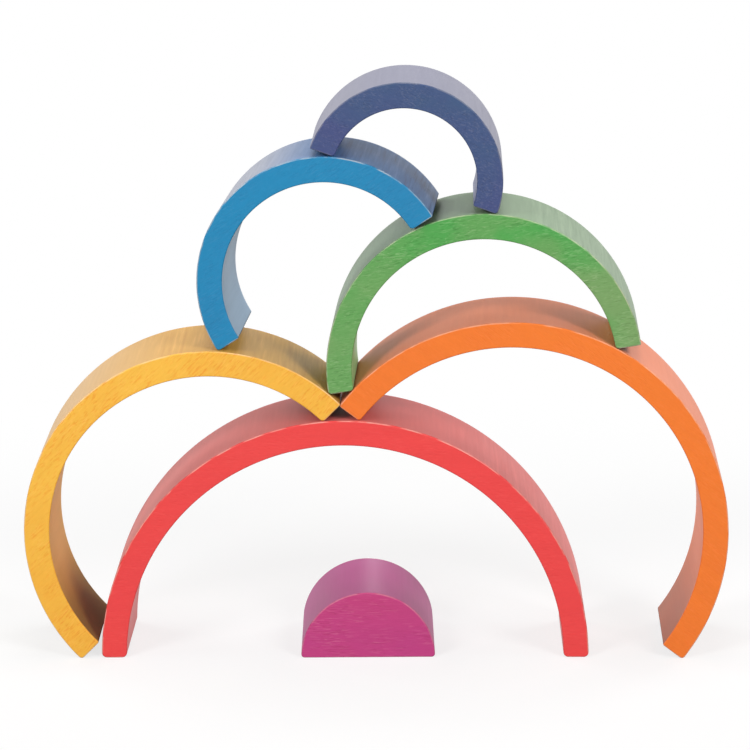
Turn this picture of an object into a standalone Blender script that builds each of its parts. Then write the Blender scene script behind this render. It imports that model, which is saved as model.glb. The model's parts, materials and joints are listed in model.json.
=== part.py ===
"""Rainbow nesting toy: six half-ring arches and a half disc of stained wood, stacked as a balancing tower.

All pieces are cut from one board, so they are equally deep, and each arch fits inside the next one.
X runs along the tower, Y through the board from front to back, and Z is up. The tower stands on Z = 0.
"""

import math
from dataclasses import dataclass

import bpy
import numpy as np

MM = 0.001

# The nesting set
CORE_RADIUS = 32 * MM  # half disc at the heart of the rainbow
WALL = 12 * MM  # radial thickness of an arch
NEST_GAP = 2 * MM  # radial play between an arch and what nests in it
DEPTH = 60 * MM  # thickness of the board
FOOT_ROUND = 1.8 * MM  # rounding of the corners at the feet, as seen from the front
EDGE_ROUND = 0.8 * MM  # roundover of the front and back edges
ARC_STEPS = 48  # facets in an arch's half turn
FOOT_STEPS = 3  # facets in a foot corner

# The tower
SEAT_GAP = 0.3 * MM  # clearance between a foot and what it stands on
TIP_GAP = 0.9 * MM  # clearance between the two tips that meet over the red arch
SIDE_GAP = 2.1 * MM  # clearance between the yellow foot and the red one beside it
BLUE_STAND = math.radians(4.6)  # where the blue foot stands, past the top of the yellow arch
INDIGO_STAND = math.radians(2.4)  # where the indigo foot stands, past the top of the blue arch
HALF_DISC_SHIFT = 10.5 * MM  # half disc's place on the floor, from the middle of the red arch

# How far each piece is turned about Z, as it was set down by hand
ORANGE_TURN = math.radians(-1.2)
YELLOW_TURN = math.radians(0.6)
GREEN_TURN = math.radians(-1.2)
BLUE_TURN = math.radians(-3.0)
INDIGO_TURN = math.radians(-0.5)
HALF_DISC_TURN = math.radians(1.0)

LEFT, RIGHT = -1, 1
OUTER, INNER = "outer", "inner"


@dataclass
class Piece:
    """One piece of the set. Its pose is the middle of its half circle, x and z, and its tilt."""

    name: str
    rank: int  # how many pieces nest inside it
    colour: tuple
    turn: float = 0.0
    pose: tuple = (0.0, 0.0, 0.0)

    @property
    def outer(self):
        return CORE_RADIUS + self.rank * (WALL + NEST_GAP)

    @property
    def inner(self):
        return self.outer - WALL

    def corner(self, side, which):
        """Centre of a foot corner's rounding, across the arch and up from its diameter."""
        radius = self.outer - FOOT_ROUND if which == OUTER else self.inner + FOOT_ROUND
        return side * math.sqrt(radius**2 - FOOT_ROUND**2), FOOT_ROUND


RED = Piece("red_arch", 6, (0.83, 0.07, 0.07))
ORANGE = Piece("orange_arch", 5, (0.88, 0.21, 0.04), ORANGE_TURN)
YELLOW = Piece("yellow_arch", 4, (0.93, 0.49, 0.07), YELLOW_TURN)
GREEN = Piece("green_arch", 3, (0.11, 0.35, 0.10), GREEN_TURN)
BLUE = Piece("blue_arch", 2, (0.03, 0.25, 0.47), BLUE_TURN)
INDIGO = Piece("indigo_arch", 1, (0.07, 0.10, 0.21), INDIGO_TURN)
MAGENTA = Piece("magenta_half_disc", 0, (0.52, 0.06, 0.20), HALF_DISC_TURN)
ARCHES = (RED, ORANGE, YELLOW, GREEN, BLUE, INDIGO)


# Places in the tower


def foot_line(piece, pose, side, which):
    """Front and back ends of the line that a foot corner's rounding is centred on."""
    x, z, tilt = pose
    across, up = piece.corner(side, which)
    run = across * math.cos(tilt) - up * math.sin(tilt)
    rise = across * math.sin(tilt) + up * math.cos(tilt)
    ends = []
    for depth in (-DEPTH / 2, DEPTH / 2):
        end_x = x + run * math.cos(piece.turn) - depth * math.sin(piece.turn)
        end_y = run * math.sin(piece.turn) + depth * math.cos(piece.turn)
        ends.append((end_x, end_y, z + rise))
    return ends


def floor_gap(line):
    return min(z for _, _, z in line) - FOOT_ROUND


def seat_gap(line, support):
    """Clearance between a foot corner and the round back of the arch under it."""
    middle_x, middle_z, _ = support.pose
    reaches = []
    for x, y, z in line:
        along = (x - middle_x) * math.cos(support.turn) + y * math.sin(support.turn)
        reaches.append(math.hypot(along, z - middle_z))
    return min(reaches) - support.outer - FOOT_ROUND


def corner_gap(line, other):
    """Clearance between two foot corners, at the nearer of their two ends."""
    return min(math.dist(a, b) for a, b in zip(line, other)) - 2 * FOOT_ROUND


def past_top(line, support):
    """Angle at which a foot corner stands, clockwise from the top of the arch under it."""
    middle_x, middle_z, _ = support.pose
    front, back = line
    return math.atan2((front[0] + back[0]) / 2 - middle_x, front[2] - middle_z)


def settle(piece, start, misfits):
    """Moves a piece until its three misfits are nil, by Newton's method from a rough start."""
    pose = np.array(start)
    nudge = 1e-7
    for _ in range(40):
        now = np.array(misfits(pose))
        slopes = [(np.array(misfits(pose + step)) - now) / nudge for step in np.eye(3) * nudge]
        pose = pose - np.linalg.solve(np.transpose(slopes), now)
    piece.pose = tuple(float(value) for value in pose)


def settle_tower():
    """Sets each piece down on the pieces below it, from the floor up."""
    base = RED.outer
    MAGENTA.pose = (HALF_DISC_SHIFT, 0.0, 0.0)

    def yellow_misfits(pose):
        return (
            floor_gap(foot_line(YELLOW, pose, LEFT, OUTER)),
            seat_gap(foot_line(YELLOW, pose, LEFT, INNER), RED) - SIDE_GAP,
            seat_gap(foot_line(YELLOW, pose, RIGHT, INNER), RED) - SEAT_GAP,
        )

    settle(YELLOW, (-0.55 * base, 0.53 * base, math.radians(45)), yellow_misfits)
    yellow_tip = foot_line(YELLOW, YELLOW.pose, RIGHT, OUTER)

    def orange_misfits(pose):
        return (
            floor_gap(foot_line(ORANGE, pose, RIGHT, OUTER)),
            seat_gap(foot_line(ORANGE, pose, LEFT, INNER), RED) - SEAT_GAP,
            corner_gap(foot_line(ORANGE, pose, LEFT, OUTER), yellow_tip) - TIP_GAP,
        )

    settle(ORANGE, (0.70 * base, 0.52 * base, math.radians(-37)), orange_misfits)

    def green_misfits(pose):
        return (
            seat_gap(foot_line(GREEN, pose, LEFT, OUTER), YELLOW) - SEAT_GAP,
            seat_gap(foot_line(GREEN, pose, LEFT, INNER), ORANGE) - SEAT_GAP,
            seat_gap(foot_line(GREEN, pose, RIGHT, INNER), ORANGE) - SEAT_GAP,
        )

    settle(GREEN, (0.58 * base, 1.21 * base, math.radians(10)), green_misfits)

    def blue_misfits(pose):
        left = foot_line(BLUE, pose, LEFT, OUTER)
        return (
            seat_gap(left, YELLOW) - SEAT_GAP,
            seat_gap(foot_line(BLUE, pose, RIGHT, INNER), GREEN) - SEAT_GAP,
            (past_top(left, YELLOW) - BLUE_STAND) * YELLOW.outer,
        )

    settle(BLUE, (-0.05 * base, 1.56 * base, math.radians(33)), blue_misfits)

    def indigo_misfits(pose):
        left = foot_line(INDIGO, pose, LEFT, INNER)
        return (
            seat_gap(left, BLUE) - SEAT_GAP,
            seat_gap(foot_line(INDIGO, pose, RIGHT, OUTER), GREEN) - SEAT_GAP,
            (past_top(left, BLUE) - INDIGO_STAND) * BLUE.outer,
        )

    settle(INDIGO, (0.26 * base, 1.97 * base, math.radians(-20)), indigo_misfits)


def half_width(piece):
    """How far a half circle that is turned about Z reaches along X from its middle."""
    return piece.outer * math.cos(piece.turn) + DEPTH / 2 * abs(math.sin(piece.turn))


def tower_middle():
    """X of the tower's middle, between the backs of the two leaning arches."""
    left = YELLOW.pose[0] - half_width(YELLOW)
    right = ORANGE.pose[0] + half_width(ORANGE)
    return (left + right) / 2


# Shapes


def arc(centre, radius, start, end, steps):
    """Points along an arc, both ends included."""
    angles = [start + (end - start) * step / steps for step in range(steps + 1)]
    return [(centre[0] + radius * math.cos(a), centre[1] + radius * math.sin(a)) for a in angles]


def outer_side(piece, inset):
    """The back of a piece with its two foot corners, from the right foot to the left one."""
    corner = piece.corner(RIGHT, OUTER)
    lift = math.atan2(corner[1], corner[0])
    foot = arc(corner, FOOT_ROUND - inset, -math.pi / 2, lift, FOOT_STEPS)
    back = arc((0, 0), piece.outer - inset, lift, math.pi - lift, ARC_STEPS)
    other_foot = [(-x, y) for x, y in reversed(foot)]
    return foot + back[1:-1] + other_foot


def inner_side(piece, inset):
    """The hollow of an arch with its two foot corners, from the left foot to the right one."""
    corner = piece.corner(LEFT, INNER)
    lift = math.atan2(corner[1], -corner[0])
    foot = arc(corner, FOOT_ROUND - inset, -math.pi / 2, -lift, FOOT_STEPS)
    hollow = arc((0, 0), piece.inner + inset, math.pi - lift, lift, ARC_STEPS)
    other_foot = [(-x, y) for x, y in reversed(foot)]
    return foot + hollow[1:-1] + other_foot


def stain(piece):
    material = bpy.data.materials.new(piece.name + "_stain")
    material.use_nodes = True
    shader = material.node_tree.nodes["Principled BSDF"]
    shader.inputs["Base Color"].default_value = (*piece.colour, 1.0)
    shader.inputs["Roughness"].default_value = 0.4
    shader.inputs["Metallic"].default_value = 0.0
    return material


def saw_out(piece, outline, collection):
    """Cuts a piece from the board along its outline, rounds its edges and sets it in its place.

    The outline is drawn inside the true one by the roundover, which the curve's bevel adds again.
    """
    curve = bpy.data.curves.new(piece.name, "CURVE")
    curve.dimensions = "2D"
    curve.fill_mode = "BOTH"
    curve.extrude = DEPTH / 2 - EDGE_ROUND
    curve.bevel_depth = EDGE_ROUND
    curve.bevel_resolution = 1
    spline = curve.splines.new("POLY")
    spline.points.add(len(outline) - 1)
    for point, (across, up) in zip(spline.points, outline):
        point.co = (across, up, 0.0, 1.0)
    spline.use_cyclic_u = True
    curve.materials.append(stain(piece))
    obj = bpy.data.objects.new(piece.name, curve)
    weld = obj.modifiers.new("caps", "WELD")
    weld.merge_threshold = 0.01 * MM
    x, z, tilt = piece.pose
    obj.location = (x - tower_middle(), 0.0, z)
    obj.rotation_euler = (math.pi / 2, -tilt, piece.turn)
    collection.objects.link(obj)


def main():
    for old in list(bpy.data.objects):
        bpy.data.objects.remove(old)
    tower = bpy.data.collections.new("rainbow_tower")
    bpy.context.scene.collection.children.link(tower)
    settle_tower()
    for piece in ARCHES:
        saw_out(piece, outer_side(piece, EDGE_ROUND) + inner_side(piece, EDGE_ROUND), tower)
    saw_out(MAGENTA, outer_side(MAGENTA, EDGE_ROUND), tower)


main()
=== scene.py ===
"""Looks for the rainbow nesting toy: stained wood on every piece, and the studio it stands in.

Each piece is modelled again with finer roundings, in the place that its node has in the frame.
"""

import json
import math
from dataclasses import dataclass

import bmesh
import bpy
from mathutils import Matrix, Vector


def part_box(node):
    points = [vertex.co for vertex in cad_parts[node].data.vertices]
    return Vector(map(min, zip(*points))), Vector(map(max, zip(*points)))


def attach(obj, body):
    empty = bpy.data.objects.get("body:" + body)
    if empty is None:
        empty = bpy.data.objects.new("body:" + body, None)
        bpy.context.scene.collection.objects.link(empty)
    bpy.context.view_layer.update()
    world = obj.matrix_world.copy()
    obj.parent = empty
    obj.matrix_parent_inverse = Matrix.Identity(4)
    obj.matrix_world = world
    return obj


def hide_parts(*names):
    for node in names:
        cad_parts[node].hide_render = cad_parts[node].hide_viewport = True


bl_info = {
    "name": "Rainbow Nesting Toy",
    "version": (1, 0, 0),
    "blender": (4, 5, 0),
    "location": "View3D > Sidebar > Rainbow",
    "description": "Stained wooden arches, a half disc and the studio they stand in",
    "category": "Object",
}

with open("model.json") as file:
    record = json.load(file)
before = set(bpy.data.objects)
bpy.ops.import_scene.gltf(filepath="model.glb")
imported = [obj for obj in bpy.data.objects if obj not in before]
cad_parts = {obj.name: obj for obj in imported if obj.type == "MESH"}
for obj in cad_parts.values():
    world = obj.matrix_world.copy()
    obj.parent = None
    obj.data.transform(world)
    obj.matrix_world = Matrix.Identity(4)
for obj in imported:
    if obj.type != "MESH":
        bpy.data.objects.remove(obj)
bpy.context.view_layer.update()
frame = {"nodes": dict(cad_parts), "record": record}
MM = 0.001

# The side that an arch leans to, as the sign of its tilt
LEFT, UPRIGHT, RIGHT = 1, 0, -1

# The corners of an arch's feet, as seen from the front
LEFT_OUTER, LEFT_INNER = "left outer", "left inner"
RIGHT_OUTER, RIGHT_INNER = "right outer", "right inner"


@dataclass(kw_only=True)
class Piece:
    """One piece of the set, how its stain came out and the light and shade painted into it, mostly in shares
    from 0 to 1.
    """

    colour: str
    rank: int  # how many pieces nest inside it
    lean: int = UPRIGHT
    seats: tuple = ()  # corners of an arch's feet that it stands on
    patches: float  # the stain's second shade, in patches and towards the feet
    dash: float  # length of its rays and pores, in millimetres
    rays: float  # short pale dashes on the front and back
    pores: float  # short dark dashes on the front and back
    streaks: float  # bands across the curved walls
    wear_and_highlight: float  # bare wood along the outer edges, with a painted highlight
    painted_left_sheen: float = 0.0  # painted sheen and light on the left of the curved walls, in bare wood's colour
    hollow: float = 0.0  # painted shade on the inner wall, deepest towards the feet, or painted light where it is negative
    rough_hollow: float = 0.0  # how much rougher the inner wall is

    @property
    def node(self):
        return self.colour + ("_arch" if self.rank else "_half_disc")


ARCHES = (
    Piece(
        colour="red", rank=6, lean=UPRIGHT, seats=(LEFT_OUTER, LEFT_INNER, RIGHT_OUTER, RIGHT_INNER),
        patches=0.4, dash=4.0, rays=0.05, pores=0.08, streaks=0.15, wear_and_highlight=0.40, hollow=0.10,
    ),
    Piece(
        colour="orange", rank=5, lean=RIGHT, seats=(LEFT_INNER, RIGHT_OUTER),
        patches=0.4, dash=4.0, rays=0.06, pores=0.08, streaks=0.15, wear_and_highlight=0.30, hollow=0.32,
    ),
    Piece(
        colour="yellow", rank=4, lean=LEFT, seats=(LEFT_OUTER, RIGHT_INNER),
        patches=0.8, dash=3.6, rays=0.12, pores=0.50, streaks=0.25, wear_and_highlight=0.30, hollow=0.42,
        painted_left_sheen=0.2, rough_hollow=0.35,
    ),
    Piece(
        colour="green", rank=3, lean=LEFT, seats=(LEFT_OUTER, LEFT_INNER, RIGHT_INNER),
        patches=0.9, dash=3.0, rays=0.32, pores=0.34, streaks=0.25, wear_and_highlight=0.40, hollow=-0.45,
    ),
    Piece(
        colour="blue", rank=2, lean=LEFT, seats=(LEFT_OUTER, RIGHT_INNER),
        patches=0.5, dash=3.4, rays=0.06, pores=0.15, streaks=0.50, wear_and_highlight=0.40, hollow=-0.12,
        painted_left_sheen=0.4,
    ),
    Piece(
        colour="indigo", rank=1, lean=RIGHT, seats=(LEFT_INNER, RIGHT_OUTER),
        patches=0.9, dash=1.4, rays=0.16, pores=0.20, streaks=0.20, wear_and_highlight=0.12, hollow=-0.30,
    ),
)
HALF_DISC = Piece(
    colour="magenta", rank=0, patches=0.6, dash=5.0, rays=0.22, pores=0.22, streaks=0.08, wear_and_highlight=0.15
)


def board_depth():
    """Thickness of the board, from the one piece that stands square to it."""
    low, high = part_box(ARCHES[0].node)
    return high.y - low.y


def outer_radius(piece):
    """Outer radius of a piece: from the half disc to the largest arch, the steps are even."""
    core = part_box(HALF_DISC.node)[1].z
    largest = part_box(ARCHES[0].node)[1].z
    return core + (largest - core) * piece.rank / ARCHES[0].rank


# Shader tools

WHITE = (1.0, 1.0, 1.0, 1.0)


class Wire:
    """A socket's value, on which Python's operators add Math nodes."""

    def __init__(self, recipe, socket):
        self.recipe = recipe
        self.socket = socket

    def math(self, operation, *others):
        values = dict(enumerate((self, *others)))
        return self.recipe.add("ShaderNodeMath", {"operation": operation}, values)

    def __add__(self, other):
        return self.math("ADD", other)

    __radd__ = __add__

    def __sub__(self, other):
        return self.math("SUBTRACT", other)

    def __rsub__(self, other):
        return self.recipe.add("ShaderNodeMath", {"operation": "SUBTRACT"}, {0: other, 1: self})

    def __mul__(self, other):
        return self.math("MULTIPLY", other)

    __rmul__ = __mul__

    def __abs__(self):
        return self.math("ABSOLUTE")

    def least(self, other):
        return self.math("MINIMUM", other)

    def most(self, other):
        return self.math("MAXIMUM", other)

    def ramp(self, low, high):
        """0 at low, 1 at high, and a soft step between them. Low may be the larger one."""
        settings = {"interpolation_type": "SMOOTHSTEP"}
        if low < high:
            values = {"Value": self, "From Min": low, "From Max": high}
            return self.recipe.add("ShaderNodeMapRange", settings, values)
        return 1 - self.ramp(high, low)

    def span(self, start, end):
        """Start where this wire is 0, and end where it is 1."""
        return start + (end - start) * self


class Recipe:
    """The nodes of a material or of the world."""

    def __init__(self, owner):
        owner.use_nodes = True
        self.tree = owner.node_tree
        self.tree.nodes.clear()

    def add(self, kind, settings=None, values=None, output=0):
        """Adds a node: its settings come first, then the values or wires of its sockets."""
        node = self.tree.nodes.new(kind)
        for name, value in (settings or {}).items():
            setattr(node, name, value)
        for name, value in (values or {}).items():
            socket = node.inputs[name]
            if isinstance(value, Wire):
                self.tree.links.new(value.socket, socket)
            else:
                socket.default_value = value
        return Wire(self, node.outputs[output]) if node.outputs else None

    def mix(self, factor, first, second, blend="MIX"):
        """Mixes two colours, which are wires or RGBA values."""
        settings = {"data_type": "RGBA", "blend_type": blend}
        values = {0: factor, 6: first, 7: second}
        return self.add("ShaderNodeMix", settings, values, output=2)

    def shows_backdrop(self):
        """1 on the rays that show the white backdrop: straight ones, mirrored ones and bent ones."""
        rays = ("Is Camera Ray", "Is Glossy Ray", "Is Transmission Ray")
        straight, mirrored, bent = (self.add("ShaderNodeLightPath", output=ray) for ray in rays)
        return straight.most(mirrored).most(bent)


def rgba(colour):
    return (*colour, 1.0)


# Stained wood


@dataclass
class Pattern:
    """Noise in the wood. Its lumps have these lengths along x, y and z, in millimetres."""

    lengths: tuple
    shift: float  # sets it apart from the other patterns
    detail: float = 2.0
    roughness: float = 0.5
    distortion: float = 0.0


def dashes(length, shift):
    """Short dashes along the fibres."""
    return Pattern((length, 20.0, 0.6), shift, detail=1.0, distortion=0.6)


CLOUD = Pattern((26.0, 60.0, 22.0), 57)
LAYERS = Pattern((90.0, 140.0, 7.0), 0, detail=3.0, distortion=0.4)
FLECKS = Pattern((1.6, 20.0, 0.8), 203, detail=3.0)
FIBRES = Pattern((1.8, 50.0, 1.8), 31, detail=3.0, roughness=0.6)
# Patches of the worn edges and their painted highlight
CLUSTERS = Pattern((16.0, 40.0, 14.0), 171)
WORN_AND_HIGHLIGHTED_SPOTS = Pattern((9.0, 30.0, 9.0), 143)
RAY_SHIFT, PORE_SHIFT = 117, 83
SHIFT_WAY = (1.0, 2.3, 1.7)  # the way that a shift moves a noise
FIRST_SEED, SEED_STEP = 7.0, 10.0
NOISE_MEAN = 0.5

# The noise at which a pattern starts to show, and at which it is full
CLOUD_SHOWS = (0.38, 0.62)
CLUSTER_SHOWS = (0.25, 0.60)
DASH_SHOWS = (0.50, 0.72)
PALE_STREAK_SHOWS = (0.50, 0.70)
DARK_STREAK_SHOWS = (0.50, 0.30)
WEAR_AND_HIGHLIGHT_SHOWS = (0.35, 0.60)

# Where a zone of a piece starts and where it is full, in millimetres
WALL_FROM_FACE = (0.2, 1.2)
# The soles, whose end grain is darkened far past its stain to paint shade into the gaps under the feet
SOLE_FROM_BASE = (0.9, 0.3)
# Worn edges with a painted highlight along them
WEAR_AND_HIGHLIGHT_FROM_EDGE = (0.65, 0.42)
WALL_SKIN = 1.0  # a point this near to a radius counts as on that wall

# The same in shares of the outer radius, up from the base or to the right of the middle
SECOND_SHADE_UP = (0.9, 0.3)
# Where the inner wall's painted shade and its roughness grow towards the feet
DARK_HOLLOW_UP = (0.5, 0.1)
# Where the painted sheen on the left of the curved walls fades out
LEFT_SHEEN_ALONG = (0.6, -0.1)
STREAKS_ALONG = (0.35, 0.6)

# Strengths at the two ends of a zone: inner and outer wall, left and right, top and feet
STAIN_OF_WALLS = (0.5, 1.0)
STREAKS_OF_WALLS = (0.4, 1.0)
STREAKS_LEFT_AND_RIGHT = (0.3, 1.0)
# Painted shade of the inner wall, at its top and at the feet
HOLLOW_SHADE_TOP_AND_FEET = (0.4, 1.7)
ROUGHNESS_TOP_AND_FEET = (0.3, 1.0)
HOLLOW_IN_LEFT_SHEEN = 2.0  # how much of the painted left sheen an inner wall with painted shade loses

# Shares that the patterns have in the second shade, in the light of the stain and in its roughness
CLOUDS_IN_SHADE = 0.4
RAYS_IN_LIGHT = 0.4
STREAKS_IN_LIGHT = 0.5
CLOUDS_IN_ROUGHNESS, PORES_IN_ROUGHNESS, SOLES_IN_ROUGHNESS = 0.1, 0.1, 0.4

# Height of the raised grain, and the shares that its patterns have in it
GRAIN_HEIGHT = 0.2 * MM
LAYER_HEIGHT, FLECK_HEIGHT = 0.2, 0.3
RAY_DROP, PORE_DROP, STREAK_DROP = 0.2, 0.6, 0.5


class Grain:
    """A piece's own millimetres: x along its base, y through the board, z up from its base."""

    def __init__(self, recipe, pose, seed):
        self.recipe = recipe
        self.seed = seed
        place, tilt, turn = pose
        turned = {
            "Vector": recipe.add("ShaderNodeTexCoord", output="Object"),
            "Location": place,
            "Rotation": (0.0, -tilt, turn),
            "Scale": (MM, MM, MM),
        }
        self.point = recipe.add("ShaderNodeMapping", {"vector_type": "TEXTURE"}, turned)
        split = recipe.add("ShaderNodeSeparateXYZ", values={"Vector": self.point})
        self.x, self.y, self.z = (Wire(recipe, socket) for socket in split.socket.node.outputs)

    def noise(self, pattern):
        shift = self.seed + pattern.shift
        stretched = {
            "Vector": self.point,
            "Location": tuple(shift * way for way in SHIFT_WAY),
            "Scale": tuple(1 / length for length in pattern.lengths),
        }
        values = {
            "Vector": self.recipe.add("ShaderNodeMapping", values=stretched),
            "Scale": 1.0,
            "Detail": pattern.detail,
            "Roughness": pattern.roughness,
            "Distortion": pattern.distortion,
        }
        return self.recipe.add("ShaderNodeTexNoise", {"noise_dimensions": "3D"}, values, "Fac")


class Zones:
    """Where a point lies on its piece, as wires from 0 to 1."""

    def __init__(self, grain, radii):
        outer, inner = (radius / MM for radius in radii)
        radius = (grain.x * grain.x + grain.z * grain.z).math("SQRT")
        to_face = board_depth() / MM / 2 - abs(grain.y)
        to_edge = abs(radius - outer).least(grain.z) + to_face

        def reach(axis, shares):
            return axis.ramp(*(share * outer for share in shares))

        self.wall = to_face.ramp(*WALL_FROM_FACE)  # on a curved wall or a sole
        self.flat = 1 - self.wall  # on the front or back
        self.outward = radius.ramp(inner + WALL_SKIN, outer - WALL_SKIN)  # from the inner wall to the outer
        self.hollow = self.wall * (1 - self.outward)  # on the inner wall
        # The soles and the lowest part of the walls, darkened to paint shade into the gaps under the feet
        self.sole = grain.z.ramp(*SOLE_FROM_BASE) * self.wall
        self.edge = to_edge.ramp(*WEAR_AND_HIGHLIGHT_FROM_EDGE)  # along an outer edge, where wear and a painted highlight lie
        self.second_shade = reach(grain.z, SECOND_SHADE_UP)
        # Towards the feet, where the inner wall's painted shade deepens
        self.dark_hollow = reach(grain.z, DARK_HOLLOW_UP)
        # To the left, where a sheen is painted on the curved walls
        self.painted_left_sheen = reach(grain.x, LEFT_SHEEN_ALONG)
        self.streaks = reach(grain.x, STREAKS_ALONG)


class Figure:
    """What the wood shows, as wires: rays and pores on the flat faces, streaks on the curved walls."""

    def __init__(self, piece, grain, zones):
        self.cloud = grain.noise(CLOUD)
        self.layers = grain.noise(LAYERS)
        self.flecks = grain.noise(FLECKS) - NOISE_MEAN
        clusters = grain.noise(CLUSTERS).ramp(*CLUSTER_SHOWS) * zones.flat
        self.rays, self.pores = (
            grain.noise(dashes(piece.dash, shift)).ramp(*DASH_SHOWS) * clusters
            for shift in (RAY_SHIFT, PORE_SHIFT)
        )
        fibres = grain.noise(FIBRES)
        to_right = zones.streaks.span(*STREAKS_LEFT_AND_RIGHT)
        grip = zones.wall * zones.outward.span(*STREAKS_OF_WALLS) * to_right
        self.pale_streaks = fibres.ramp(*PALE_STREAK_SHOWS) * grip
        self.dark_streaks = fibres.ramp(*DARK_STREAK_SHOWS) * grip
        # Pale line of worn wood and painted highlight along the outer edges
        self.wear_and_highlight = zones.edge * grain.noise(WORN_AND_HIGHLIGHTED_SPOTS).ramp(*WEAR_AND_HIGHLIGHT_SHOWS)

    def height(self, piece):
        """Raised grain: pores, rays and dark streaks lie deeper."""
        raised = LAYER_HEIGHT * self.layers + FLECK_HEIGHT * self.flecks
        streaks = STREAK_DROP * piece.streaks * self.dark_streaks
        return raised - PORE_DROP * self.pores - RAY_DROP * self.rays - streaks


def dye(recipe, piece, looks, zones, figure):
    """Stain in two shades on the flat faces, and in a third one on the curved walls, with part of the walls'
    sheen painted into it and a painted sheen in bare wood's colour on their left.
    """
    # The curved walls' colour is their stain with part of their sheen painted in
    first, second, walls = (
        rgba(getattr(looks, piece.colour + part)) for part in ("", "_shade", "_wall")
    )
    clouds = CLOUDS_IN_SHADE * figure.cloud.ramp(*CLOUD_SHOWS)
    patches = clouds + (1 - CLOUDS_IN_SHADE) * zones.second_shade
    flat = recipe.mix(piece.patches * patches, first, second)
    # Painted sheen and light on the left of the curved walls, in bare wood's colour, weaker on an inner wall
    # with painted shade
    kept_inside = 1 - HOLLOW_IN_LEFT_SHEEN * piece.hollow
    painted_left_sheen = piece.painted_left_sheen * zones.outward.span(kept_inside, 1.0) * zones.painted_left_sheen
    curved = recipe.mix(painted_left_sheen, walls, rgba(looks.wood))
    return recipe.mix(zones.wall * zones.outward.span(*STAIN_OF_WALLS), flat, curved)


def grained(recipe, piece, looks, zones, figure):
    """The stain as the wood takes it: thin in rays and deep in pores, with soles darkened to paint shade
    into the gaps under the feet, painted shade on the inner walls of some pieces and painted light on
    others, and worn edges that carry a painted highlight.
    """
    stain = dye(recipe, piece, looks, zones, figure)
    wood = rgba(looks.wood)
    rays = piece.rays * figure.rays
    pale_streaks = STREAKS_IN_LIGHT * piece.streaks * figure.pale_streaks
    thin = recipe.mix(rays + pale_streaks, stain, recipe.mix(looks.paleness, stain, wood))
    twice = recipe.mix(1.0, stain, stain, "MULTIPLY")
    deep = recipe.mix(piece.pores * figure.pores + piece.streaks * figure.dark_streaks, thin, twice)

    layers = looks.figure * (figure.layers - NOISE_MEAN)
    light = 1.0 + layers + looks.fleck * figure.flecks + RAYS_IN_LIGHT * rays + pale_streaks
    # Painted shade on the inner wall, deepest towards the feet, or painted light where the piece's hollow is
    # negative
    hollow = piece.hollow * zones.hollow * zones.dark_hollow.span(*HOLLOW_SHADE_TOP_AND_FEET)
    # Soles darkened to paint shade into the gaps under the feet
    tone = light * (1 - looks.sole * zones.sole) * (1 - hollow)
    grey = recipe.add("ShaderNodeCombineColor", values={0: tone, 1: tone, 2: tone})
    # Worn edges in bare wood's colour, with a painted highlight along them
    return recipe.mix(piece.wear_and_highlight * figure.wear_and_highlight, recipe.mix(1.0, deep, grey, "MULTIPLY"), wood)


def sheen(piece, looks, zones, figure):
    """Roughness of the satin finish, which is duller in pores, on soles and in some hollows."""
    clouds = CLOUDS_IN_ROUGHNESS * (figure.cloud - NOISE_MEAN)
    pores = PORES_IN_ROUGHNESS * figure.pores
    soles = SOLES_IN_ROUGHNESS * zones.sole
    hollow = piece.rough_hollow * zones.hollow * zones.dark_hollow.span(*ROUGHNESS_TOP_AND_FEET)
    return looks.roughness + clouds + pores + soles + hollow


def stained_wood(piece, looks, pose, radii):
    """Satin stain on a fine-grained board whose fibres run along the base of the piece, with some light and
    shade painted into its colour.
    """
    material = bpy.data.materials.new(piece.colour + "_stain")
    recipe = Recipe(material)
    grain = Grain(recipe, pose, FIRST_SEED + SEED_STEP * piece.rank)
    zones = Zones(grain, radii)
    figure = Figure(piece, grain, zones)
    relief = {"Strength": looks.relief, "Distance": GRAIN_HEIGHT, "Height": figure.height(piece)}
    values = {
        "Base Color": grained(recipe, piece, looks, zones, figure),
        "Roughness": sheen(piece, looks, zones, figure),
        "Metallic": 0.0,
        "IOR": looks.ior,
        "Normal": recipe.add("ShaderNodeBump", values=relief),
    }
    shader = recipe.add("ShaderNodeBsdfPrincipled", values=values)
    recipe.add("ShaderNodeOutputMaterial", values={"Surface": shader})
    return material


# Modelling

CORNER_SEGMENTS = 6
EDGE_SEGMENTS = 4
RIM_ANGLE = math.radians(60)  # the rims of the front and back are sharper than this
FACES_FRONT = -0.9  # a front face's normal has less than this along Y
FLAT_FACES_FIRST = 100  # weight of large faces in the shading, so that flat faces look flat

# The first and last step of a half turn, in roundings, so that a corner's rounding fits into it
ARCH_FOOT_STEP = 1.1
HALF_DISC_FOOT_STEP = 3.0


def front_turn(node):
    """How far a piece is turned about Z, from the way that its front face looks."""
    faces = [face for face in frame["nodes"][node].data.polygons if face.normal.y < FACES_FRONT]
    front = sum((face.normal * face.area for face in faces), Vector())
    return math.atan2(front.x, -front.y)


def arch_pose(piece, outer, foot_round):
    """Middle of an arch's half circle, its tilt and its turn, from the box around its node.

    The top of the box touches the back of the arch, its side the bulge that the arch leans to,
    and its bottom the rounded corner of the lower foot.
    """
    low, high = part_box(piece.node)
    turn = front_turn(piece.node)
    half_width = outer * math.cos(turn) + board_depth() / 2 * abs(math.sin(turn))
    middles = {LEFT: low.x + half_width, UPRIGHT: (low.x + high.x) / 2, RIGHT: high.x - half_width}
    z = high.z - outer
    reach = outer - foot_round
    drop = math.asin(foot_round / reach) + math.asin((z - low.z - foot_round) / reach)
    return Vector((middles[piece.lean], 0.0, z)), piece.lean * drop, turn


def roll_over(shape, parts, radius, segments, affect):
    """Rounds these corners or edges."""
    bmesh.ops.bevel(
        shape,
        geom=parts,
        offset=radius,
        segments=segments,
        profile=0.5,
        affect=affect,
        material=-1,
    )


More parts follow.
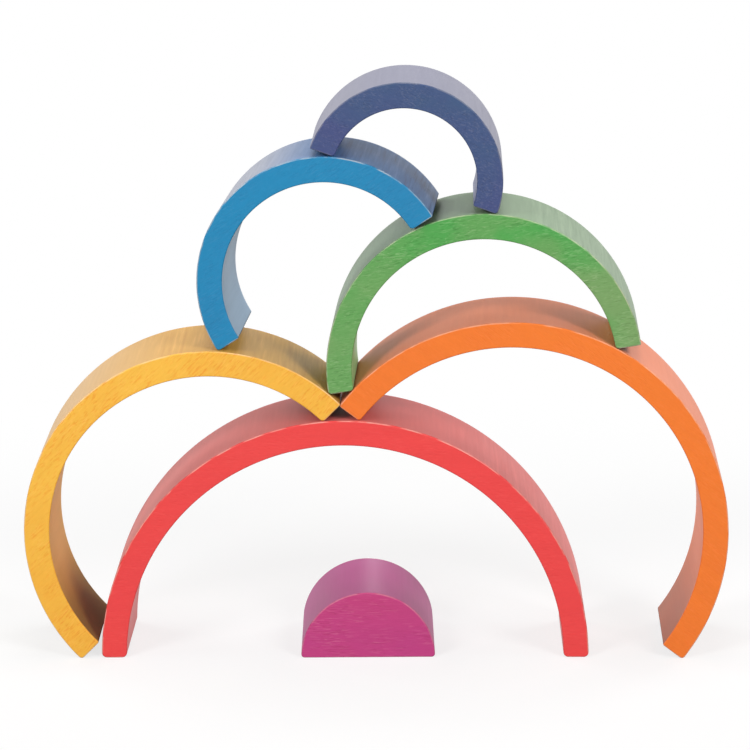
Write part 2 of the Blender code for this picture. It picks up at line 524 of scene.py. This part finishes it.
def saw_and_sand(shape, edge_round):
    """Gives a flat outline the board's depth and rolls over its front and back edges."""
    bmesh.ops.recalc_face_normals(shape, faces=shape.faces[:])
    sheet = shape.faces[:]
    pulled = bmesh.ops.extrude_face_region(shape, geom=sheet, use_keep_orig=True)["geom"]
    new_verts = [part for part in pulled if isinstance(part, bmesh.types.BMVert)]
    bmesh.ops.translate(shape, vec=(0.0, board_depth(), 0.0), verts=new_verts)
    bmesh.ops.recalc_face_normals(shape, faces=shape.faces[:])
    rims = [edge for edge in shape.edges if edge.calc_face_angle(0.0) > RIM_ANGLE]
    roll_over(shape, rims, edge_round, EDGE_SEGMENTS, "EDGES")


def put_in_place(shape, piece, pose, material):
    """Makes an object of a finished shape, and has it stand for its node."""
    place, tilt, turn = pose
    matrix = (
        Matrix.Translation(place)
        @ Matrix.Rotation(turn, 4, "Z")
        @ Matrix.Rotation(-tilt, 4, "Y")
        @ Matrix.Translation((0.0, -board_depth() / 2, 0.0))
    )
    bmesh.ops.transform(shape, matrix=matrix, verts=shape.verts[:])
    for face in shape.faces:
        face.smooth = True
    name = piece.colour + ("_half_ring" if piece.rank else "_core")
    mesh = bpy.data.meshes.new(name)
    shape.to_mesh(mesh)
    shape.free()
    mesh.materials.append(material)
    obj = bpy.data.objects.new(name, mesh)
    bpy.context.scene.collection.objects.link(obj)
    shading = obj.modifiers.new("even_faces", "WEIGHTED_NORMAL")
    shading.weight = FLAT_FACES_FIRST
    bodies = frame["record"]["behaviour"]["bodies"]
    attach(obj, next(body for body, nodes in bodies.items() if piece.node in nodes))
    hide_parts(piece.node)


def sweep(shape, foot, foot_step, steps):
    """Spins a foot through a half turn, a longer step at either end, and gives the other foot's corners."""
    last = foot
    for angle, count in ((foot_step, 1), (math.pi - 2 * foot_step, steps), (foot_step, 1)):
        last = bmesh.ops.spin(
            shape,
            geom=last,
            cent=(0.0, 0.0, 0.0),
            axis=(0.0, -1.0, 0.0),
            angle=angle,
            steps=count,
        )["geom_last"]
    return [part for part in last if isinstance(part, bmesh.types.BMVert)]


def arch_shape(piece, outer, inner, sizes):
    """A line across the wall, spun through a half turn. The corners that carry it are the rounder ones."""
    shape = bmesh.new()
    foot = [shape.verts.new((radius, 0.0, 0.0)) for radius in (inner, outer)]
    line = shape.edges.new(foot)
    foot_step = ARCH_FOOT_STEP * sizes.flat_round / inner
    other_foot = sweep(shape, [*foot, line], foot_step, sizes.arc_steps)
    seats, free = [], []
    for corner in foot + other_foot:
        side = "left" if corner.co.x < 0 else "right"
        rim = "inner" if corner.co.length < (inner + outer) / 2 else "outer"
        (seats if f"{side} {rim}" in piece.seats else free).append(corner)
    seat_round = sizes.foot_round if piece.lean else sizes.flat_round
    roll_over(shape, seats, seat_round, CORNER_SEGMENTS, "VERTICES")
    roll_over(shape, free, sizes.free_round, CORNER_SEGMENTS, "VERTICES")
    saw_and_sand(shape, sizes.edge_round)
    return shape


def half_disc_shape(outer, sizes):
    """A corner spun through a half turn, closed along the diameter and filled."""
    shape = bmesh.new()
    corner = shape.verts.new((outer, 0.0, 0.0))
    foot_step = HALF_DISC_FOOT_STEP * sizes.foot_round / outer
    corners = [corner, *sweep(shape, [corner], foot_step, sizes.arc_steps)]
    bmesh.ops.contextual_create(shape, geom=corners)
    bmesh.ops.contextual_create(shape, geom=shape.edges[:])
    roll_over(shape, corners, sizes.foot_round, CORNER_SEGMENTS, "VERTICES")
    saw_and_sand(shape, sizes.edge_round)
    return shape


# Settings


def length_property(name, description, length):
    return bpy.props.FloatProperty(name=name, description=description, default=length, unit="LENGTH")


def share_property(name, description, share):
    return bpy.props.FloatProperty(
        name=name, description=description, subtype="FACTOR", default=share, min=0.0, max=1.0
    )


def power_property(name, description, power):
    return bpy.props.FloatProperty(name=name, description=description, default=power, min=0.0, unit="POWER")


def colour_property(name, description, colour):
    return bpy.props.FloatVectorProperty(
        name=name,
        description=description,
        subtype="COLOR",
        size=3,
        min=0.0,
        max=1.0,
        default=colour,
    )


def stain_property(name, colour):
    return colour_property(name, "Stain of this piece", colour)


class RainbowSizes(bpy.types.PropertyGroup):
    """Sizes of the pieces that their boxes don't give."""

    wall: length_property("Wall", "Radial thickness of an arch", 12 * MM)
    foot_round: length_property("Foot Rounding", "Radius of the corners that a piece stands on", 1.8 * MM)
    flat_round: length_property("Flat Rounding", "Radius of the corners of an upright arch's feet", 2.4 * MM)
    free_round: length_property("Free Rounding", "Radius of the corners that stand clear", 0.8 * MM)
    edge_round: length_property("Edge Rounding", "Radius of the front and back edges", 0.6 * MM)
    arc_steps: bpy.props.IntProperty(
        name="Arc Steps", description="Faces along a half turn", default=120, min=24
    )


class RainbowLooks(bpy.types.PropertyGroup):
    """Colours and finish of the wood."""

    # Per piece: the stain of the front, its second shade, and the colour of the curved walls, which is their
    # stain with part of their sheen painted in
    red: stain_property("Red", (0.83, 0.060, 0.057))
    red_shade: stain_property("Red, second shade", (0.80, 0.052, 0.060))
    red_wall: stain_property("Red, curved walls", (0.77, 0.165, 0.150))
    orange: stain_property("Orange", (0.87, 0.195, 0.022))
    orange_shade: stain_property("Orange, second shade", (0.85, 0.175, 0.022))
    orange_wall: stain_property("Orange, curved walls", (0.88, 0.245, 0.105))
    yellow: stain_property("Yellow", (0.915, 0.495, 0.058))
    yellow_shade: stain_property("Yellow, second shade", (0.885, 0.43, 0.045))
    yellow_wall: stain_property("Yellow, curved walls", (0.71, 0.380, 0.070))
    green: stain_property("Green", (0.064, 0.332, 0.064))
    green_shade: stain_property("Green, second shade", (0.19, 0.332, 0.118))
    green_wall: stain_property("Green, curved walls", (0.240, 0.345, 0.210))
    blue: stain_property("Blue", (0.006, 0.218, 0.43))
    blue_shade: stain_property("Blue, second shade", (0.012, 0.200, 0.41))
    blue_wall: stain_property("Blue, curved walls", (0.052, 0.157, 0.370))
    indigo: stain_property("Indigo", (0.036, 0.080, 0.176))
    indigo_shade: stain_property("Indigo, second shade", (0.046, 0.060, 0.180))
    indigo_wall: stain_property("Indigo, curved walls", (0.240, 0.240, 0.325))
    magenta: stain_property("Magenta", (0.54, 0.050, 0.195))
    magenta_shade: stain_property("Magenta, second shade", (0.50, 0.046, 0.222))
    magenta_wall: stain_property("Magenta, curved walls", (0.41, 0.042, 0.218))
    # Bare wood, which also colours the painted highlight on the edges and the painted sheen on the left of
    # the walls
    wood: colour_property("Wood", "Colour of the bare wood", (0.80, 0.70, 0.58))
    figure: share_property("Figure", "Strength of the broad growth layers", 0.12)
    fleck: share_property("Fleck", "Strength of the fine flecks all over", 0.08)
    paleness: share_property("Paleness", "How much wood shows in a pale ray", 0.28)
    # Darker end grain on the soles, pushed far darker to paint shade into the gaps under the feet
    sole: share_property("Soles", "How much darker the soles are", 0.85)
    relief: share_property("Relief", "Strength of the raised grain", 0.3)
    roughness: share_property("Roughness", "Roughness of the satin finish", 0.46)
    ior: bpy.props.FloatProperty(
        name="IOR", description="Index of refraction of the satin finish", default=1.40, min=1.0
    )


class RainbowStage(bpy.types.PropertyGroup):
    """Light and floor of the studio."""

    floor: colour_property("Floor", "Colour of the floor, as it lights the pieces", (0.30, 0.30, 0.30))
    ambient: share_property("Ambient", "Strength of the even light from all round", 0.03)
    front_power: power_property("Front Light", "Power of the lamp in front", 10.5)
    side_power: power_property("Side Lights", "Power of each lamp at the front corners", 28.0)
    back_power: power_property("Back Lights", "Power of each lamp at the back corners", 10.5)
    rear_power: power_property("Rear Light", "Power of the low lamp behind", 20.0)
    top_power: power_property("Top Light", "Power of the lamp overhead", 8.0)


# Pieces


class RAINBOW_OT_arches(bpy.types.Operator):
    """Add the six arches, each in its place in the tower"""

    bl_idname = "rainbow.arches"
    bl_label = "Add Arches"

    def execute(self, context):
        sizes, looks = context.scene.rainbow_sizes, context.scene.rainbow_looks
        for piece in ARCHES:
            outer = outer_radius(piece)
            inner = outer - sizes.wall
            pose = arch_pose(piece, outer, sizes.foot_round)
            material = stained_wood(piece, looks, pose, (outer, inner))
            put_in_place(arch_shape(piece, outer, inner, sizes), piece, pose, material)
        return {"FINISHED"}


class RAINBOW_OT_half_disc(bpy.types.Operator):
    """Add the half disc that stands under the tower"""

    bl_idname = "rainbow.half_disc"
    bl_label = "Add Half Disc"

    def execute(self, context):
        sizes, looks = context.scene.rainbow_sizes, context.scene.rainbow_looks
        low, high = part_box(HALF_DISC.node)
        pose = (Vector(((low.x + high.x) / 2, 0.0, low.z)), 0.0, front_turn(HALF_DISC.node))
        outer = outer_radius(HALF_DISC)
        material = stained_wood(HALF_DISC, looks, pose, (outer, 0.0))
        put_in_place(half_disc_shape(outer, sizes), HALF_DISC, pose, material)
        return {"FINISHED"}


# Studio

FLOOR_RADIUS = 4.0
FLOOR_SEGMENTS = 64
FLOOR_SEEN = (0.95, 0.95, 0.95, 1.0)  # its colour where it is seen shaded
SHADED_FLOOR = (0.2, 0.5)  # how far from the middle its shadows start to fade, and where they are gone
NEAR_GLOW = 0.75  # share of plain white in the floor near the pieces
LAMP_AIM = Vector((0.0, 0.0, 0.12))

# The camera, as the fit to the photograph gives it: its lens and sensor are in millimetres
CAMERA_PLACE = (0.0255, -1.5792, 0.4958)
CAMERA_PITCH = math.radians(13.00)
CAMERA_YAW = math.radians(-0.95)
CAMERA_ROLL = math.radians(-0.35)
CAMERA_LENS = 163.37
CAMERA_SENSOR = 36.0


def floor_finish(colour):
    """Pale matt floor, which the camera sees nearly white but still shaded."""
    material = bpy.data.materials.new("studio_floor")
    recipe = Recipe(material)
    point = recipe.add("ShaderNodeTexCoord", output="Object")
    away = recipe.add("ShaderNodeVectorMath", {"operation": "LENGTH"}, {0: point}, output="Value")
    white = recipe.add("ShaderNodeEmission", values={"Color": WHITE, "Strength": 1.0})
    shaded = recipe.add("ShaderNodeBsdfDiffuse", values={"Color": FLOOR_SEEN})
    glow = away.ramp(*SHADED_FLOOR).span(NEAR_GLOW, 1.0)
    seen = recipe.add("ShaderNodeMixShader", values={0: glow, 1: shaded, 2: white})
    matt = recipe.add("ShaderNodeBsdfDiffuse", values={"Color": rgba(colour)})
    mixed = recipe.add("ShaderNodeMixShader", values={0: recipe.shows_backdrop(), 1: matt, 2: seen})
    recipe.add("ShaderNodeOutputMaterial", values={"Surface": mixed})
    return material


def lay_floor(colour):
    """Round floor, far wider than the tower."""
    shape = bmesh.new()
    bmesh.ops.create_circle(shape, cap_ends=True, segments=FLOOR_SEGMENTS, radius=FLOOR_RADIUS)
    mesh = bpy.data.meshes.new("floor")
    shape.to_mesh(mesh)
    shape.free()
    mesh.materials.append(floor_finish(colour))
    floor = bpy.data.objects.new("floor", mesh)
    bpy.context.scene.collection.objects.link(floor)


def backdrop(ambient):
    """White all round, and dimmer where it only lights the pieces."""
    world = bpy.data.worlds.new("studio")
    recipe = Recipe(world)
    strength = recipe.shows_backdrop().span(ambient, 1.0)
    light = recipe.add("ShaderNodeBackground", values={"Color": WHITE, "Strength": strength})
    recipe.add("ShaderNodeOutputWorld", values={"Surface": light})
    return world


def lamp(name, place, size, power):
    """Soft round lamp that points at the middle of the tower."""
    light = bpy.data.lights.new(name, "AREA")
    light.shape = "DISK"
    light.size = size
    light.energy = power
    obj = bpy.data.objects.new(name, light)
    obj.location = place
    obj.rotation_euler = (LAMP_AIM - Vector(place)).to_track_quat("-Z", "Y").to_euler()
    bpy.context.scene.collection.objects.link(obj)


def photo_camera():
    """Camera at the photograph's viewing angle."""
    data = bpy.data.cameras.new("camera")
    data.lens = CAMERA_LENS
    data.sensor_width = CAMERA_SENSOR
    camera = bpy.data.objects.new("camera", data)
    aim = (
        Matrix.Rotation(-CAMERA_YAW, 4, "Z")
        @ Matrix.Rotation(math.pi / 2 - CAMERA_PITCH, 4, "X")
        @ Matrix.Rotation(CAMERA_ROLL, 4, "Z")
    )
    camera.matrix_world = Matrix.Translation(CAMERA_PLACE) @ aim
    bpy.context.scene.collection.objects.link(camera)
    return camera


class RAINBOW_OT_stage(bpy.types.Operator):
    """Add the floor, the lamps, the surrounding light and the camera"""

    bl_idname = "rainbow.stage"
    bl_label = "Set Stage"

    def execute(self, context):
        scene, settings = context.scene, context.scene.rainbow_stage
        lay_floor(settings.floor)
        lamp("front_light", place=(-0.3, -2.3, 0.8), size=1.2, power=settings.front_power)
        lamp("left_light", place=(-1.3, -1.6, 1.3), size=0.9, power=settings.side_power)
        lamp("right_light", place=(1.3, -1.6, 1.3), size=0.9, power=settings.side_power)
        lamp("back_left_light", place=(-1.4, 1.2, 1.3), size=1.0, power=settings.back_power)
        lamp("back_right_light", place=(1.4, 1.2, 1.3), size=1.0, power=settings.back_power)
        lamp("rear_light", place=(0.0, 3.2, 0.06), size=0.1, power=settings.rear_power)
        lamp("top_light", place=(0.0, 0.1, 1.7), size=0.8, power=settings.top_power)
        scene.world = backdrop(settings.ambient)
        scene.view_settings.view_transform = "Standard"
        scene.camera = photo_camera()
        return {"FINISHED"}


# Add-on


class RAINBOW_PT_panel(bpy.types.Panel):
    """Lists the pieces and their settings"""

    bl_idname = "RAINBOW_PT_panel"
    bl_label = "Rainbow Nesting Toy"
    bl_space_type = "VIEW_3D"
    bl_region_type = "UI"
    bl_category = "Rainbow"

    def draw(self, context):
        for operator in OPERATORS:
            self.layout.operator(operator.bl_idname)
        for group in (
            context.scene.rainbow_sizes,
            context.scene.rainbow_looks,
            context.scene.rainbow_stage,
        ):
            box = self.layout.box()
            for name in group.__annotations__:
                box.prop(group, name)


OPERATORS = (RAINBOW_OT_arches, RAINBOW_OT_half_disc, RAINBOW_OT_stage)
CLASSES = (RainbowSizes, RainbowLooks, RainbowStage, *OPERATORS, RAINBOW_PT_panel)


def register():
    for cls in CLASSES:
        bpy.utils.register_class(cls)
    bpy.types.Scene.rainbow_sizes = bpy.props.PointerProperty(type=RainbowSizes)
    bpy.types.Scene.rainbow_looks = bpy.props.PointerProperty(type=RainbowLooks)
    bpy.types.Scene.rainbow_stage = bpy.props.PointerProperty(type=RainbowStage)


def unregister():
    del bpy.types.Scene.rainbow_stage
    del bpy.types.Scene.rainbow_looks
    del bpy.types.Scene.rainbow_sizes
    for cls in reversed(CLASSES):
        bpy.utils.unregister_class(cls)


def main():
    register()
    bpy.ops.rainbow.stage()
    bpy.ops.rainbow.arches()
    bpy.ops.rainbow.half_disc()


if __name__ == "__main__":
    main()
